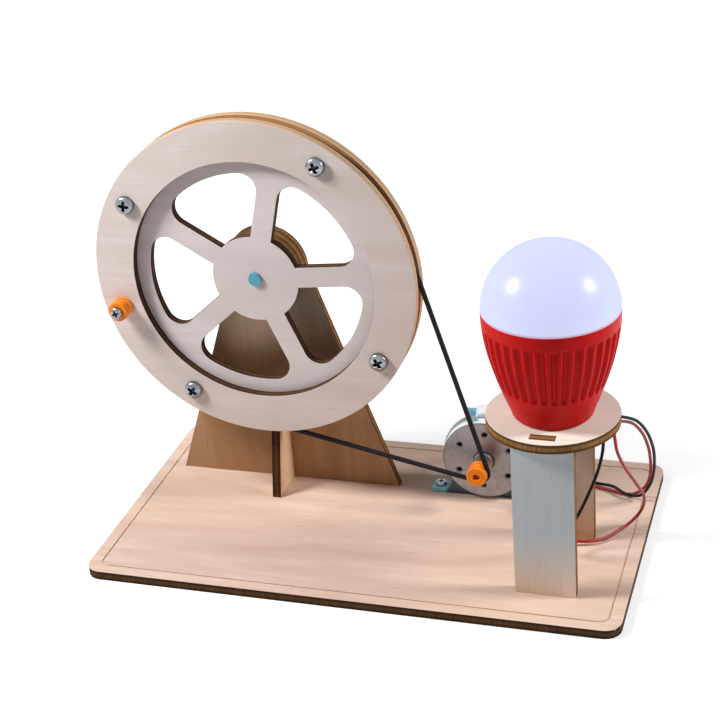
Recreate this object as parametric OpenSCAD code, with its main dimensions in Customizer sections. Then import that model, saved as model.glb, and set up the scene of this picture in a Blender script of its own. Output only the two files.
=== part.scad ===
// Hand-cranked demonstration generator. A plywood flywheel drives a small motor by a round belt, and the
// motor's current lights a lamp through two wires. Sizes are in millimetres. The origin is the centre of the
// base's underside, +Z is up, +X runs along the base towards the lamp, and -Y is the side of the crank.

/* [Plywood] */
// Thickness of every plywood sheet
ply_t = 2.8; // [2.4:0.1:3.2]
// Play of a tab in its slot, on each side
tab_play = 0.05; // [0.02:0.01:0.15]

/* [Base] */
// Length of the base along X
base_w = 160; // [158:1:190]
// Depth of the base along Y
base_d = 90; // [84:1:120]
// Radius of the base's corners
base_corner_r = 5; // [3:0.5:10]
// Distance of the engraved border line from the edge
border_inset = 3.6; // [2:0.2:4.4]
// Radius of the engraved border line's corners
border_corner_r = 3; // [1:0.5:6]
// Width of the engraved border line
border_line_w = 0.5; // [0.3:0.1:0.8]
// Depth of the engraved border line
border_line_depth = 0.3; // [0.2:0.05:0.5]

/* [Wheel stand] */
// Distance of the axle from the base's left end
stand_inset = 44.1; // [42:0.1:46]
// Front face of the stand plate along Y
stand_y = 17.8; // [17:0.1:22]
// Height of the axle above the top of the base
axle_h = 74.7; // [74:0.1:90]
// Width of the stand plate at its foot
stand_foot_w = 73; // [60:1:76]
// Radius of the stand plate's rounded top
stand_top_r = 10.5; // [8:0.5:14]
// Width of each tab under the stand plate
stand_tab_w = 12; // [6:0.5:16]
// Distance between the middles of the stand plate's two tabs
stand_tab_pitch = 46; // [34:1:52]
// Reach of the cross plate before and behind the stand plate, at its foot
cross_reach = 13.4; // [11:0.1:15]
// Reach of the cross plate before and behind the stand plate, at its top
cross_top_reach = 8.4; // [4:0.1:10]
// Height of the cross plate above the base
cross_h = 21.5; // [14:0.5:23]
// Length of each tab under the cross plate
cross_tab_w = 6; // [4:0.5:7]
// Distance of the cross plate's tabs from its foot's ends
cross_tab_inset = 3; // [2:0.5:3.5]
// Diameter of the bearing discs in front of the stand plate
bearing_disc_d = 25.6; // [18:0.2:26]
// Gap between the wheel's hub and the first bearing disc
hub_gap = 0.4; // [0.2:0.1:1]

/* [Wheel] */
// Outer diameter of the wheel's rings
wheel_d = 100; // [94:1:102]
// Diameter of the rings' opening
ring_inner_d = 75.4; // [72:0.2:77]
// Depth of the belt groove between the rings
groove_depth = 2.3; // [2.0:0.1:3]
// Width of the spoked disc's rim that shows inside the rings
rim_lip = 4.4; // [2:0.1:5]
// Diameter of the hub
hub_d = 27; // [20:0.5:32]
// Number of spokes
spoke_count = 5; // [4:1:7]
// Width of a spoke
spoke_w = 6.4; // [4:0.2:9]
// Direction of the first spoke, in degrees from +X
spoke_turn = 5; // [0:1:71]
// Radius of a window's outer corners
window_corner_r = 5; // [2:0.5:6]

/* [Axle] */
// Diameter of the axle
axle_d = 4; // [3:0.1:5]
// Length of axle that stands out of the hub
axle_proud = 0.8; // [0.5:0.1:3]
// Radial play of the axle in the stand and the discs
axle_play = 0.05; // [0.02:0.01:0.08]
// Diameter of the collar behind the stand
collar_d = 9; // [7:0.5:12]
// Length of the collar
collar_len = 4; // [3:0.5:6]
// Gap between the collar and the stand
collar_gap = 0.4; // [0.2:0.1:1]
// Length of axle that stands out of the collar
axle_tail = 1; // [0.5:0.1:3]

/* [Wheel screws] */
// Number of screws through the rings
screw_count = 4; // [3:1:4]
// Distance of the screws' middles from the wheel's edge
screw_edge = 6.1; // [5.6:0.1:7]
// Direction of the first screw, in degrees from +X
screw_turn = 58.4; // [40:0.2:70]
// Thread diameter of the screws
screw_d = 3; // [2:0.1:3.2]
// Diameter of a screw's head
screw_head_d = 5.6; // [4.6:0.1:6]
// Height of a screw's head
screw_head_h = 2; // [1.4:0.1:2.4]
// Width of a nut across its flats
nut_w = 5.5; // [5:0.1:6]
// Height of a nut
nut_h = 2.4; // [1.6:0.1:2.6]
// Length of screw beyond its nut
screw_tail = 0.8; // [0.2:0.1:1.2]
// Play of a screw in its hole, on each side
screw_play = 0.05; // [0.02:0.01:0.2]

/* [Crank] */
// Direction of the crank pin, in degrees from +X
crank_turn = 193.4; // [180:0.2:200]
// Diameter of the crank pin
crank_pin_d = 2; // [1.6:0.1:2.4]
// Diameter of the crank pin's head
crank_head_d = 3.8; // [3.4:0.1:4.6]
// Height of the crank pin's head
crank_head_h = 1.3; // [1:0.1:2]
// Width of the crank pin's nut across its flats
crank_nut_w = 4; // [3.6:0.1:4.4]
// Height of the crank pin's nut
crank_nut_h = 1.6; // [1.2:0.1:2.4]
// Gap at each end of the knob
knob_gap = 0.3; // [0.2:0.05:0.6]

/* [Spools] */
// Flange diameter of the pulley and of the knob, which are alike
spool_d = 6.2; // [5.6:0.1:7]
// Diameter at the bottom of a spool's groove
spool_root_d = 4.3; // [3.8:0.1:4.8]
// Length of a spool's front flange
spool_front = 2; // [1:0.1:3]
// Length of a spool's rear flange
spool_rear = 0.5; // [0.4:0.1:1.5]
// Width of the flat bottom of a spool's groove
spool_root_w = 1.7; // [1.6:0.1:2.4]
// Length of the slope from the groove's bottom to a flange
spool_slope = 0.3; // [0.3:0.1:0.6]
// Depth that the motor shaft stops short of the pulley's front
shaft_short = 1; // [0.5:0.1:2]

/* [Belt] */
// Diameter of the round belt
belt_d = 1.5; // [1.2:0.1:1.7]
// Gap between the belt and the grooves that it runs in
belt_gap = 0.1; // [0.06:0.02:0.2]

/* [Motor] */
// Distance of the motor shaft from the axle along X
motor_reach = 64.9; // [62:0.1:68]
// Diameter of the motor can
motor_d = 26; // [24:0.1:27]
// Length of the motor can
motor_len = 12.3; // [12.1:0.1:16]
// Wall of the motor can
can_wall = 0.7; // [0.5:0.1:0.9]
// Distance from the pulley to the motor's face
face_gap = 5.55; // [4:0.05:7]
// Diameter of the circle of holes in the face
face_hole_circle_d = 17.7; // [15:0.1:19]
// Diameter of a hole in the face
face_hole_d = 1.5; // [1:0.1:2.2]
// Number of holes in the face
face_hole_count = 6; // [3:1:8]
// Direction of the first hole in the face
face_hole_turn = 27; // [0:1:59]
// Diameter of the motor shaft
shaft_d = 2; // [1.5:0.1:2.4]
// Radial play of the shaft in its bushes
shaft_play = 0.03; // [0.02:0.01:0.08]
// Outer diameter of the bushes
bush_d = 6; // [5:0.1:7]
// Length of the front bush before the face
bush_proud = 1.2; // [0.6:0.1:2]
// Thickness of the magnets
magnet_t = 2; // [1.5:0.1:2.4]
// Air gap between the armature and the magnets
air_gap = 0.5; // [0.3:0.05:0.7]
// Length of the armature's core
core_len = 4.5; // [3.5:0.1:4.5]
// Diameter of the armature core's hub
core_hub_d = 6; // [5:0.1:6.4]
// Thickness of an armature arm's shoe
shoe_t = 1.6; // [1.2:0.1:2]
// Half the angle that a shoe spans
shoe_turn = 45; // [30:1:52]
// Gap between a winding and the core's hub or shoe
winding_clear = 0.4; // [0.2:0.1:0.6]
// Width of an armature arm
arm_w = 3; // [2:0.1:3.6]
// Height of the winding over the core's ends and arms
winding_t = 1; // [0.6:0.1:1]
// Diameter of the commutator
commutator_d = 5; // [4:0.1:5.4]
// Length of the commutator
commutator_len = 2; // [1.6:0.1:2]
// Thickness of the plastic end cap
end_cap_t = 2.2; // [1.8:0.1:2.4]
// Distance of a terminal from the shaft
terminal_x = 5; // [4.6:0.1:6.5]
// Thickness of a terminal
terminal_t = 0.5; // [0.3:0.1:0.8]
// Width of a terminal and of a brush
terminal_w = 2; // [1.6:0.1:2.4]
// Length of a terminal behind the end cap
terminal_len = 3.3; // [3.2:0.1:3.3]

/* [Motor bracket] */
// Wall of the bracket round the motor
bracket_wall = 1; // [0.8:0.1:2]
// Length of the bracket's cradle along the motor
bracket_len = 5; // [4.4:0.1:8]
// Distance of the cradle behind the motor's face
bracket_setback = 1.9; // [0.4:0.1:3]
// Width of the strap over the motor
strap_w = 1.8; // [1.2:0.1:3]
// Thickness of the strap over the motor
strap_t = 0.5; // [0.4:0.05:0.8]
// Overall width of the bracket over its feet
bracket_w = 35; // [34:0.5:36]
// Thickness of a foot
foot_t = 1.5; // [1.2:0.1:2]
// Width of the bracket between its two gussets' feet
gusset_w = 24.4; // [20:0.2:24.6]
// Direction below level at which the gussets meet the motor
gusset_turn = 40; // [35:1:50]
// Distance of the foot screws from the bracket's ends
foot_screw_inset = 2.4; // [2:0.1:3]
// Thread diameter of the foot screws
foot_screw_d = 2; // [1.6:0.1:2.2]
// Head diameter of the foot screws
foot_head_d = 3.4; // [3:0.1:4]
// Head height of the foot screws
foot_head_h = 1.3; // [1:0.1:1.6]
// Distance that the foot screws' ends stop short of the base's underside
foot_screw_short = 0.3; // [0.2:0.1:0.6]
// Distance of the tab from the motor's middle
bracket_tab_x = -4.4; // [-6:0.1:-3]
// Height of the tab over the strap
bracket_tab_h = 1.7; // [1.5:0.1:4]
// Width of the tab at its top
bracket_tab_w = 3.4; // [2.4:0.1:4]
// Width of the tab at its neck
bracket_neck_w = 2.2; // [1.6:0.1:2.4]

/* [Lamp stand] */
// Distance of the lamp stand's middle from the base's right end
lamp_inset = 23; // [22:0.5:26]
// Middle of the lamp stand along Y
lamp_y = -15.5; // [-20:0.5:-12]
// Width of the post plates
post_w = 17.4; // [14:0.2:18.2]
// Distance from the front post's front to the rear post's rear
post_spread = 32; // [28:0.5:32.4]
// Height of the posts above the base
post_h = 47.4; // [45:0.2:60]
// Width of the tabs of the posts
post_tab_w = 7; // [4:0.5:8]
// Diameter of the round platform
platform_d = 37.4; // [36.8:0.2:44]
// Diameter of the hole for the wires
wire_hole_d = 6; // [5:0.5:8]

/* [Lamp] */
// Diameter of the lamp at the seam of its dome
lamp_d = 38; // [36:0.5:42]
// Diameter of the housing's foot
lamp_foot_d = 21.8; // [20.6:0.2:25]
// Height of the housing
housing_h = 31.8; // [29:0.2:36]
// Wall of the housing
housing_wall = 1.4; // [1:0.1:1.8]
// Rounding of the foot's lower edge
foot_round = 1.4; // [0.6:0.1:1.8]
// Number of grooves round the housing
rib_count = 36; // [24:1:38]
// Direction of the first groove, in degrees from +X
rib_turn = 3.3; // [0:0.1:10]
// Width of a groove
rib_groove_w = 1.2; // [0.8:0.1:1.5]
// Depth of a groove at its ends
rib_groove_depth = 0.3; // [0.2:0.05:0.4]
// Height of the grooves' lower ends above the platform
rib_low = 10; // [8:0.5:12]
// Height of the grooves' upper ends above the platform
rib_high = 27.4; // [24:0.2:28]
// Wall of the dome
dome_wall = 1.2; // [0.8:0.1:2]
// Thickness of the board
board_t = 1.6; // [1:0.1:2]
// Play of the board in the housing
board_play = 0.2; // [0.1:0.05:0.5]
// Depth of the board's top below the seam
board_depth = 1.6; // [1:0.1:2.4]
// Width of the ledge under the board
ledge_w = 2.4; // [1.5:0.1:3]
// Thickness of the ledge under the board
ledge_t = 1; // [0.8:0.1:1.4]
// Number of light-emitting diodes
led_count = 6; // [4:1:8]
// Side of a diode
led_w = 3.2; // [2.4:0.1:3.6]
// Height of a diode
led_h = 0.8; // [0.5:0.1:1]
// Diameter of the circle of diodes
led_circle_d = 18; // [14:0.5:20]

/* [Wires] */
// Diameter of a wire over its insulation
wire_d = 0.95; // [0.8:0.05:1.1]

/* [Hidden] */

// Round surfaces are true curves; this only sets how finely they are previewed
$fn = 72;
// Overreach of a cut past the face that it opens
cut = 1;
// Gap that keeps two glued or seated pieces apart
seat_gap = 0.02;

// Gap at the ends of the pieces that turn inside the motor
end_play = 0.2;
// Gap between a brush and the commutator
brush_gap = 0.05;
// Directions of the armature's arms
arm_turns = [90, 210, 330];
// Half the angle that a magnet spans
magnet_turn = 65;

// Levels and planes of the stand and the wheel
base_top = ply_t;
stand_x = stand_inset - base_w / 2;
axle_z = base_top + axle_h;
disc_rear_y = stand_y - ply_t;
disc_middle_y = disc_rear_y - ply_t;
disc_front_y = disc_middle_y - ply_t;
spoked_y = disc_front_y - hub_gap - ply_t;
front_ring_y = spoked_y - ply_t;
rear_ring_y = spoked_y + ply_t;
wheel_back_y = rear_ring_y + ply_t;
stand_back_y = stand_y + ply_t;
belt_y = spoked_y + ply_t / 2;
spoked_r = wheel_d / 2 - groove_depth;
screw_circle_r = wheel_d / 2 - screw_edge;
window_r = ring_inner_d / 2 - rim_lip;

// Planes of the pulley and the motor
spool_len = spool_front + spool_root_w + 2 * spool_slope + spool_rear;
pulley_front_y = belt_y - spool_root_w / 2 - spool_slope - spool_front;
pulley_back_y = pulley_front_y + spool_len;
motor_x = stand_x + motor_reach;
face_y = pulley_back_y + face_gap;
motor_back_y = face_y + motor_len;
motor_r = motor_d / 2;
motor_z = base_top + bracket_wall + motor_r;
can_in_r = motor_r - can_wall;
armature_r = can_in_r - magnet_t - air_gap;
end_cap_y = motor_back_y - end_cap_t;
commutator_y = end_cap_y - end_play - commutator_len;
core_y = commutator_y - end_play - winding_t - core_len;
terminal_front_y = commutator_y + end_play;

// Planes and levels of the lamp
lamp_x = base_w / 2 - lamp_inset;
post_front_y = lamp_y - post_spread / 2;
post_rear_y = lamp_y + post_spread / 2 - ply_t;
platform_z = base_top + post_h;
lamp_z = platform_z + ply_t;
seam_z = lamp_z + housing_h;
board_z = seam_z - board_depth - board_t;
foot_r = lamp_foot_d / 2;
lamp_r = lamp_d / 2;

// Radius of the housing at a height over its foot: a quarter sine wave from the foot to the seam
function housing_r(h) = foot_r + (lamp_r - foot_r) * sin(90 * h / housing_h);

// Corners of the board's seat follow the housing's inner wall
board_r = housing_r(housing_h - board_depth - board_t) - housing_wall - board_play;

// Belt: the two circles of its middle line, and the direction and angle of their outer tangents
belt_wheel_r = spoked_r + belt_gap + belt_d / 2;
belt_pulley_r = spool_root_d / 2 + belt_gap + belt_d / 2;
belt_run = [motor_x - stand_x, motor_z - axle_z];
belt_dir = atan2(belt_run[1], belt_run[0]);
belt_turn = acos((belt_wheel_r - belt_pulley_r) / norm(belt_run));
belt_wheel_steps = 44;
belt_pulley_steps = 6;

// Ends of the two terminals, where the wires start
red_end = [motor_x + terminal_x + terminal_t / 2, motor_back_y + terminal_len, motor_z];
black_end = [motor_x - terminal_x - terminal_t / 2, motor_back_y + terminal_len, motor_z];
// Middle of the lamp stand on top of the base
lamp_foot = [lamp_x, lamp_y, base_top];

// Bend of each wire down to the base, from its terminal
red_bend = [
  [0, 0, 0], [0, 3.1, 0], [1.3, 6.1, -4.3], [4.8, 6.6, -10.8],
];
black_bend = [
  [0, 0, 0], [0, 3.1, 0], [1.7, 6.6, -4.8], [6.2, 8.6, -10.8],
];

// Each wire from the lamp stand's foot: along the base, up and down in a loop, and in between the posts
red_loop = [
  [-13, 50.5, 0.9], [-5, 46.9, 0.6], [3, 43.5, 0.6], [9, 41.5, 0.6], [14, 40.1, 0.7], [18, 39.5, 2.4],
  [20.8, 37.1, 7.2], [22.1, 34.1, 13.2], [22.5, 30.5, 19.7], [22.4, 26.5, 26.2], [21.4, 22, 33],
  [19.4, 17.3, 38.6], [17, 12.5, 41.8], [15.6, 9.3, 43.2], [15.8, 6.3, 42.4], [16.4, 4.9, 39.4],
  [16.9, 6.1, 35], [18.3, 10, 28.2], [20.4, 15, 20.7], [22.2, 20, 13.2], [21.2, 23.5, 6.6],
  [18.4, 22.9, 2.4], [15, 19, 1], [11.4, 14, 1], [7, 10.9, 1.4], [2, 9.9, 1.6], [-2, 7, 2.7],
  [-3.6, 3, 7.7], [-2.8, 0.3, 16.2], [-1.2, 0, 28.2],
];
black_loop = [
  [-20, 54.1, 0.9], [-12, 51.5, 0.6], [-4, 48.1, 0.6], [3.6, 44.9, 0.7], [9.4, 41.9, 1.9], [14, 38.7, 1.6],
  [18.6, 37.5, 2.4], [21.6, 35.9, 7.2], [23.1, 33.3, 13.2], [23.8, 29.9, 19.7], [23.9, 25.9, 26.4],
  [22.9, 21.3, 33.7], [20.8, 16.5, 39.9], [17.9, 11.9, 43.5], [15.3, 8.9, 44.9], [13.4, 6.9, 43.6],
  [13, 6.1, 40.2], [12.4, 6.9, 34.2], [10.8, 8.1, 27.2], [8.4, 8.9, 20.2], [5.4, 9.1, 12.7],
  [2.8, 7.3, 8.2], [1.2, 3.9, 6.8], [0.6, 0.9, 10.2], [1, 0, 17.2], [1.2, 0, 33.2],
];

// Each wire's last stretch straight up through the platform to the board, its place beside the lamp's middle
red_up = -1.2;
black_up = 1.2;

// Route of a wire through its bend, its loop and its last stretch
function wire_route(end, bend, loop, up) = concat(
  [for (p = bend) end + p], [for (p = loop) lamp_foot + p],
  [for (z = [platform_z - wire_hole_d / 2, board_z]) [lamp_x + up, lamp_y, z]]
);

// Colours as they show on the object
ply_face = "#dcc3ab";
ply_edge = "#b08058";
orange = "#f58020";
light_blue = "#58aac8";
steel = "#9a9a9c";
zinc = "#b8bcc0";
brass = "#c8a050";
copper = "#b86a38";
dark_plastic = "#303034";

// Unit vector along v
function unit(v) = v / norm(v);

// Point at a distance and a direction in a plane
function polar(r, a) = [r * cos(a), r * sin(a)];

// Place of a wheel screw's middle on the wheel, in X and Z
function on_wheel(r, a) = [stand_x, axle_z] + polar(r, a);

// Stands a flat outline up in the XZ plane, from depth y through one sheet
module sheet_up(y) {
  translate([0, y + ply_t, 0]) rotate([90, 0, 0]) linear_extrude(ply_t) children();
}

// Round bar along Y between two depths, at [x, z]
module bar(at, y0, y1, d) {
  translate([at[0], y0, at[1]]) rotate([-90, 0, 0]) cylinder(d = d, h = y1 - y0);
}

// Turned piece along Y: an outline of [radius, length] corners, from depth y at [x, z]
module turned(at, y, outline) {
  translate([at[0], y, at[1]]) rotate([-90, 0, 0]) rotate_extrude() polygon(outline);
}

// Rectangle with round corners, about the origin
module rounded_box(w, d, r) {
  square([w - 2 * r, d], center = true);
  square([w, d - 2 * r], center = true);
  for (x = [-1, 1], y = [-1, 1]) translate([x * (w / 2 - r), y * (d / 2 - r)]) circle(r);
}

// Rectangle about a point
module box_at(p, w, d) {
  translate(p) square([w, d], center = true);
}

// Holes of the wheel's screws and of the crank pin, in the plane of the wheel
module wheel_holes() {
  for (i = [0:screw_count - 1]) {
    translate(on_wheel(screw_circle_r, screw_turn + i * 360 / screw_count)) {
      circle(d = screw_d + 2 * screw_play);
    }
  }
  translate(on_wheel(screw_circle_r, crank_turn)) circle(d = crank_pin_d + 2 * screw_play);
}

// Ring of the wheel
module wheel_ring(y) {
  color(ply_face) sheet_up(y) difference() {
    translate([stand_x, axle_z]) difference() {
      circle(d = wheel_d);
      circle(d = ring_inner_d);
    }
    wheel_holes();
  }
}

// Window between a spoke along +X and the next one: straight sides, an arc outside and round outer corners
module wheel_window() {
  step = 360 / spoke_count;
  side = spoke_w / 2;
  corner = side + window_corner_r;
  reach = sqrt(pow(window_r - window_corner_r, 2) - corner * corner);
  turn = [[cos(step), -sin(step)], [sin(step), cos(step)]];
  first = [reach, corner];
  last = turn * [reach, -corner];
  from = atan2(first[1], first[0]);
  wide = atan2(last[1], last[0]) - from;
  inner = hub_d / 4;
  difference() {
    union() {
      polygon([[inner, side], [reach, side], first, last, turn * [reach, -side], turn * [inner, -side]]);
      intersection() {
        circle(window_r);
        polygon(concat([[0, 0]], [for (i = [0:3]) polar(2 * window_r, from + wide * i / 3)]));
      }
      translate(first) circle(window_corner_r);
      translate(last) circle(window_corner_r);
    }
    circle(d = hub_d);
  }
}

// Pan head with a cross recess, its top towards -Y, under which a thread runs to length
module pan_screw(at, y, head_d, head_h, d, len) {
  turned(at, y - head_h, [
    [0, 0], [head_d * 0.3, 0], [head_d * 0.44, head_h * 0.25], [head_d / 2, head_h * 0.7],
    [head_d / 2, head_h], [d / 2, head_h], [d / 2, head_h + len], [0, head_h + len],
  ]);
}

// Cross recess of a pan head
module cross_recess(at, y, head_d, head_h) {
  recess = head_h * 0.5;
  translate([at[0], y - head_h, at[1]]) for (a = [45, 135]) rotate([0, a, 0]) {
    cube([head_d * 0.56, 2 * recess, head_d * 0.13], center = true);
  }
}

// Hexagonal nut along Y with a round bore
module nut(at, y, w, h, bore) {
  difference() {
    translate([at[0], y, at[1]]) rotate([-90, 0, 0]) cylinder(d = w / cos(30), h = h, $fn = 6);
    bar(at, y - cut, y + h + cut, bore);
  }
}

// Spool with two flanges and a flat-bottomed groove, bored through
module spool(at, y, bore) {
  low = spool_front + spool_slope;
  color(orange) turned(at, y, [
    [bore / 2, 0], [spool_d / 2, 0], [spool_d / 2, spool_front], [spool_root_d / 2, low],
    [spool_root_d / 2, low + spool_root_w], [spool_d / 2, spool_len - spool_rear], [spool_d / 2, spool_len],
    [bore / 2, spool_len],
  ]);
}

// Round tube along a route: a ring of sides at each point, carried along without twist from a direction
module tube(route, d, sides, start, closed = false) {
  n = len(route);
  spans = closed ? n : n - 1;
  along = [
    for (i = [0:n - 1])
      let (next = closed ? (i + 1) % n : min(i + 1, n - 1), last = closed ? (i + n - 1) % n : max(i - 1, 0))
        unit(route[next] - route[last])
  ];
  across = [
    for (i = 0, v = start; i < n; i = i + 1, v = i < n ? unit(v - (v * along[i]) * along[i]) : v) v
  ];
  rings = [
    for (i = [0:n - 1], k = [0:sides - 1])
      let (p = polar(d / 2, 360 * k / sides))
        route[i] + p[0] * across[i] + p[1] * cross(along[i], across[i])
  ];
  walls = [
    for (i = [0:spans - 1], k = [0:sides - 1])
      let (a = i * sides, b = (i + 1) % n * sides, m = (k + 1) % sides)
        each [[a + k, b + k, a + m], [a + m, b + k, b + m]]
  ];
  last = (n - 1) * sides;
  caps = closed ? [] : [for (k = [1:sides - 2]) each [[0, k, k + 1], [last, last + k + 1, last + k]]];
  polyhedron(points = rings, faces = concat(walls, caps), convexity = 8);
}

// Base

module base_plate() {
  line_w = base_w - 2 * border_inset;
  line_d = base_d - 2 * border_inset;
  color(ply_face) difference() {
    linear_extrude(ply_t) difference() {
      rounded_box(base_w, base_d, base_corner_r);
      for (s = [-1, 1]) {
        box_at([stand_x + s * stand_tab_pitch / 2, stand_y + ply_t / 2],
               stand_tab_w + 2 * tab_play, ply_t + 2 * tab_play);
        box_at([stand_x, stand_y + ply_t / 2 + s * cross_tab_y()],
               ply_t + 2 * tab_play, cross_tab_w + 2 * tab_play);
        box_at([lamp_x, lamp_y + s * (post_spread - ply_t) / 2],
               post_tab_w + 2 * tab_play, ply_t + 2 * tab_play);
      }
      for (x = foot_screw_xs()) translate([x, foot_screw_y()]) circle(d = foot_screw_d + 2 * screw_play);
    }
    translate([0, 0, base_top - border_line_depth]) linear_extrude(border_line_depth + cut) difference() {
      rounded_box(line_w, line_d, border_corner_r);
      rounded_box(line_w - 2 * border_line_w, line_d - 2 * border_line_w, border_corner_r - border_line_w);
    }
  }
}

// Wheel stand

// Half the distance between the cross plate's tabs
function cross_tab_y() = ply_t / 2 + cross_reach - cross_tab_inset - cross_tab_w / 2;

// Height at which the two plates of the stand lap each other
function lap_z() = base_top + cross_h / 2;

module wheel_stand_plate() {
  half = stand_foot_w / 2;
  tilt = atan(half / axle_h) - asin(stand_top_r / norm([half, axle_h]));
  shoulder = polar(stand_top_r, tilt);
  color(ply_face) sheet_up(stand_y) translate([stand_x, 0]) difference() {
    union() {
      polygon([
        [-half, base_top], [half, base_top], [shoulder[0], axle_z + shoulder[1]],
        [-shoulder[0], axle_z + shoulder[1]],
      ]);
      translate([0, axle_z]) circle(stand_top_r);
      for (s = [-1, 1]) box_at([s * stand_tab_pitch / 2, ply_t / 2], stand_tab_w, ply_t);
    }
    translate([0, axle_z]) circle(d = axle_d + 2 * axle_play);
    translate([-ply_t / 2 - tab_play, base_top - cut]) {
      square([ply_t + 2 * tab_play, cross_h / 2 + tab_play + cut]);
    }
  }
}

module stand_cross_plate() {
  half = ply_t / 2 + cross_reach;
  half_top = ply_t / 2 + cross_top_reach;
  top = base_top + cross_h;
  at = [stand_x - ply_t / 2, stand_y + ply_t / 2, 0];
  color(ply_face) translate(at) rotate([90, 0, 90]) linear_extrude(ply_t) difference() {
    union() {
      polygon([[-half, base_top], [half, base_top], [half_top, top], [-half_top, top]]);
      for (s = [-1, 1]) box_at([s * cross_tab_y(), ply_t / 2], cross_tab_w, ply_t);
    }
    translate([-ply_t / 2 - tab_play, lap_z() - tab_play]) square([ply_t + 2 * tab_play, cross_h]);
  }
}

module bearing_disc(y) {
  color(ply_edge) sheet_up(y) translate([stand_x, axle_z]) difference() {
    circle(d = bearing_disc_d);
    circle(d = axle_d + 2 * axle_play);
  }
}

module bearing_disc_front() { bearing_disc(disc_front_y); }
module bearing_disc_middle() { bearing_disc(disc_middle_y); }
module bearing_disc_rear() { bearing_disc(disc_rear_y); }

// Wheel

module wheel_front_ring() { wheel_ring(front_ring_y); }
module wheel_rear_ring() { wheel_ring(rear_ring_y); }

module wheel_spoked_disc() {
  color(ply_face) sheet_up(spoked_y) difference() {
    translate([stand_x, axle_z]) difference() {
      circle(spoked_r);
      for (i = [0:spoke_count - 1]) rotate(spoke_turn + i * 360 / spoke_count) wheel_window();
      circle(d = axle_d + 2 * seat_gap);
    }
    wheel_holes();
  }
}

module wheel_screws() {
  color(zinc) for (i = [0:screw_count - 1]) {
    at = on_wheel(screw_circle_r, screw_turn + i * 360 / screw_count);
    difference() {
      pan_screw(at, front_ring_y, screw_head_d, screw_head_h, screw_d, 3 * ply_t + nut_h + screw_tail);
      cross_recess(at, front_ring_y, screw_head_d, screw_head_h);
    }
  }
}

module wheel_nuts() {
  color(zinc) for (i = [0:screw_count - 1]) {
    nut(on_wheel(screw_circle_r, screw_turn + i * 360 / screw_count), wheel_back_y, nut_w, nut_h,
        screw_d + 2 * seat_gap);
  }
}

module axle() {
  color(light_blue) bar([stand_x, axle_z], spoked_y - axle_proud,
                        stand_back_y + collar_gap + collar_len + axle_tail, axle_d);
}

module axle_collar() {
  y = stand_back_y + collar_gap;
  color(light_blue) difference() {
    bar([stand_x, axle_z], y, y + collar_len, collar_d);
    bar([stand_x, axle_z], y - cut, y + collar_len + cut, axle_d + 2 * seat_gap);
  }
}

// Crank

module crank_pin() {
  at = on_wheel(screw_circle_r, crank_turn);
  y = front_ring_y - spool_len - 2 * knob_gap;
  color(zinc) difference() {
    pan_screw(at, y, crank_head_d, crank_head_h, crank_pin_d, wheel_back_y - y + crank_nut_h + screw_tail);
    cross_recess(at, y, crank_head_d, crank_head_h);
  }
}

module crank_pin_nut() {
  color(zinc) nut(on_wheel(screw_circle_r, crank_turn), wheel_back_y, crank_nut_w, crank_nut_h,
                  crank_pin_d + 2 * seat_gap);
}

module crank_knob() {
  at = on_wheel(screw_circle_r, crank_turn);
  spool(at, front_ring_y - knob_gap - spool_len, crank_pin_d + 2 * axle_play);
}

// Belt

// The belt's middle line: round the wheel, then round the pulley, with straight runs between
belt_route = [
  for (i = [0:belt_wheel_steps])
    let (a = belt_dir + belt_turn + i * (360 - 2 * belt_turn) / belt_wheel_steps)
      let (p = on_wheel(belt_wheel_r, a))
      [p[0], belt_y, p[1]],
  for (i = [0:belt_pulley_steps])
    let (a = belt_dir - belt_turn + i * 2 * belt_turn / belt_pulley_steps)
      let (p = polar(belt_pulley_r, a))
      [motor_x + p[0], belt_y, motor_z + p[1]],
];

module drive_belt() { color("#181818") tube(belt_route, belt_d, 12, [0, 1, 0], closed = true); }

// Motor

module drive_pulley() { spool([motor_x, motor_z], pulley_front_y, shaft_d + 2 * seat_gap); }

module motor_shaft() {
  color(steel) bar([motor_x, motor_z], pulley_front_y + shaft_short, motor_back_y, shaft_d);
}

module armature_core() {
  at = [motor_x, core_y + core_len, motor_z];
  wedge = [for (s = [-1, 0, 1]) polar((3 - abs(s)) * armature_r, s * shoe_turn)];
  color("#6a6a6e") translate(at) rotate([90, 0, 0]) linear_extrude(core_len) difference() {
    union() {
      circle(d = core_hub_d);
      for (a = arm_turns) rotate(a) {
        translate([0, -arm_w / 2]) square([armature_r - shoe_t / 2, arm_w]);
        intersection() {
          difference() {
            circle(armature_r);
            circle(armature_r - shoe_t);
          }
          polygon(concat([[0, 0]], wedge));
        }
      }
    }
    circle(d = shaft_d + 2 * seat_gap);
  }
}

module armature_windings() {
  inner = core_hub_d / 2 + winding_clear;
  outer = armature_r - shoe_t - winding_clear;
  width = arm_w + 2 * winding_t;
  at = [motor_x, core_y + core_len / 2, motor_z];
  color(copper) translate(at) for (a = arm_turns) rotate([0, -a, 0]) {
    difference() {
      translate([inner, -core_len / 2 - winding_t, -width / 2]) {
        cube([outer - inner, core_len + 2 * winding_t, width]);
      }
      translate([inner - cut, -core_len / 2 - seat_gap, -arm_w / 2 - seat_gap]) {
        cube([outer - inner + 2 * cut, core_len + 2 * seat_gap, arm_w + 2 * seat_gap]);
      }
    }
  }
}

module commutator() {
  color(copper) difference() {
    bar([motor_x, motor_z], commutator_y, commutator_y + commutator_len, commutator_d);
    bar([motor_x, motor_z], commutator_y - cut, commutator_y + commutator_len + cut, shaft_d + 2 * seat_gap);
  }
}

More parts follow.
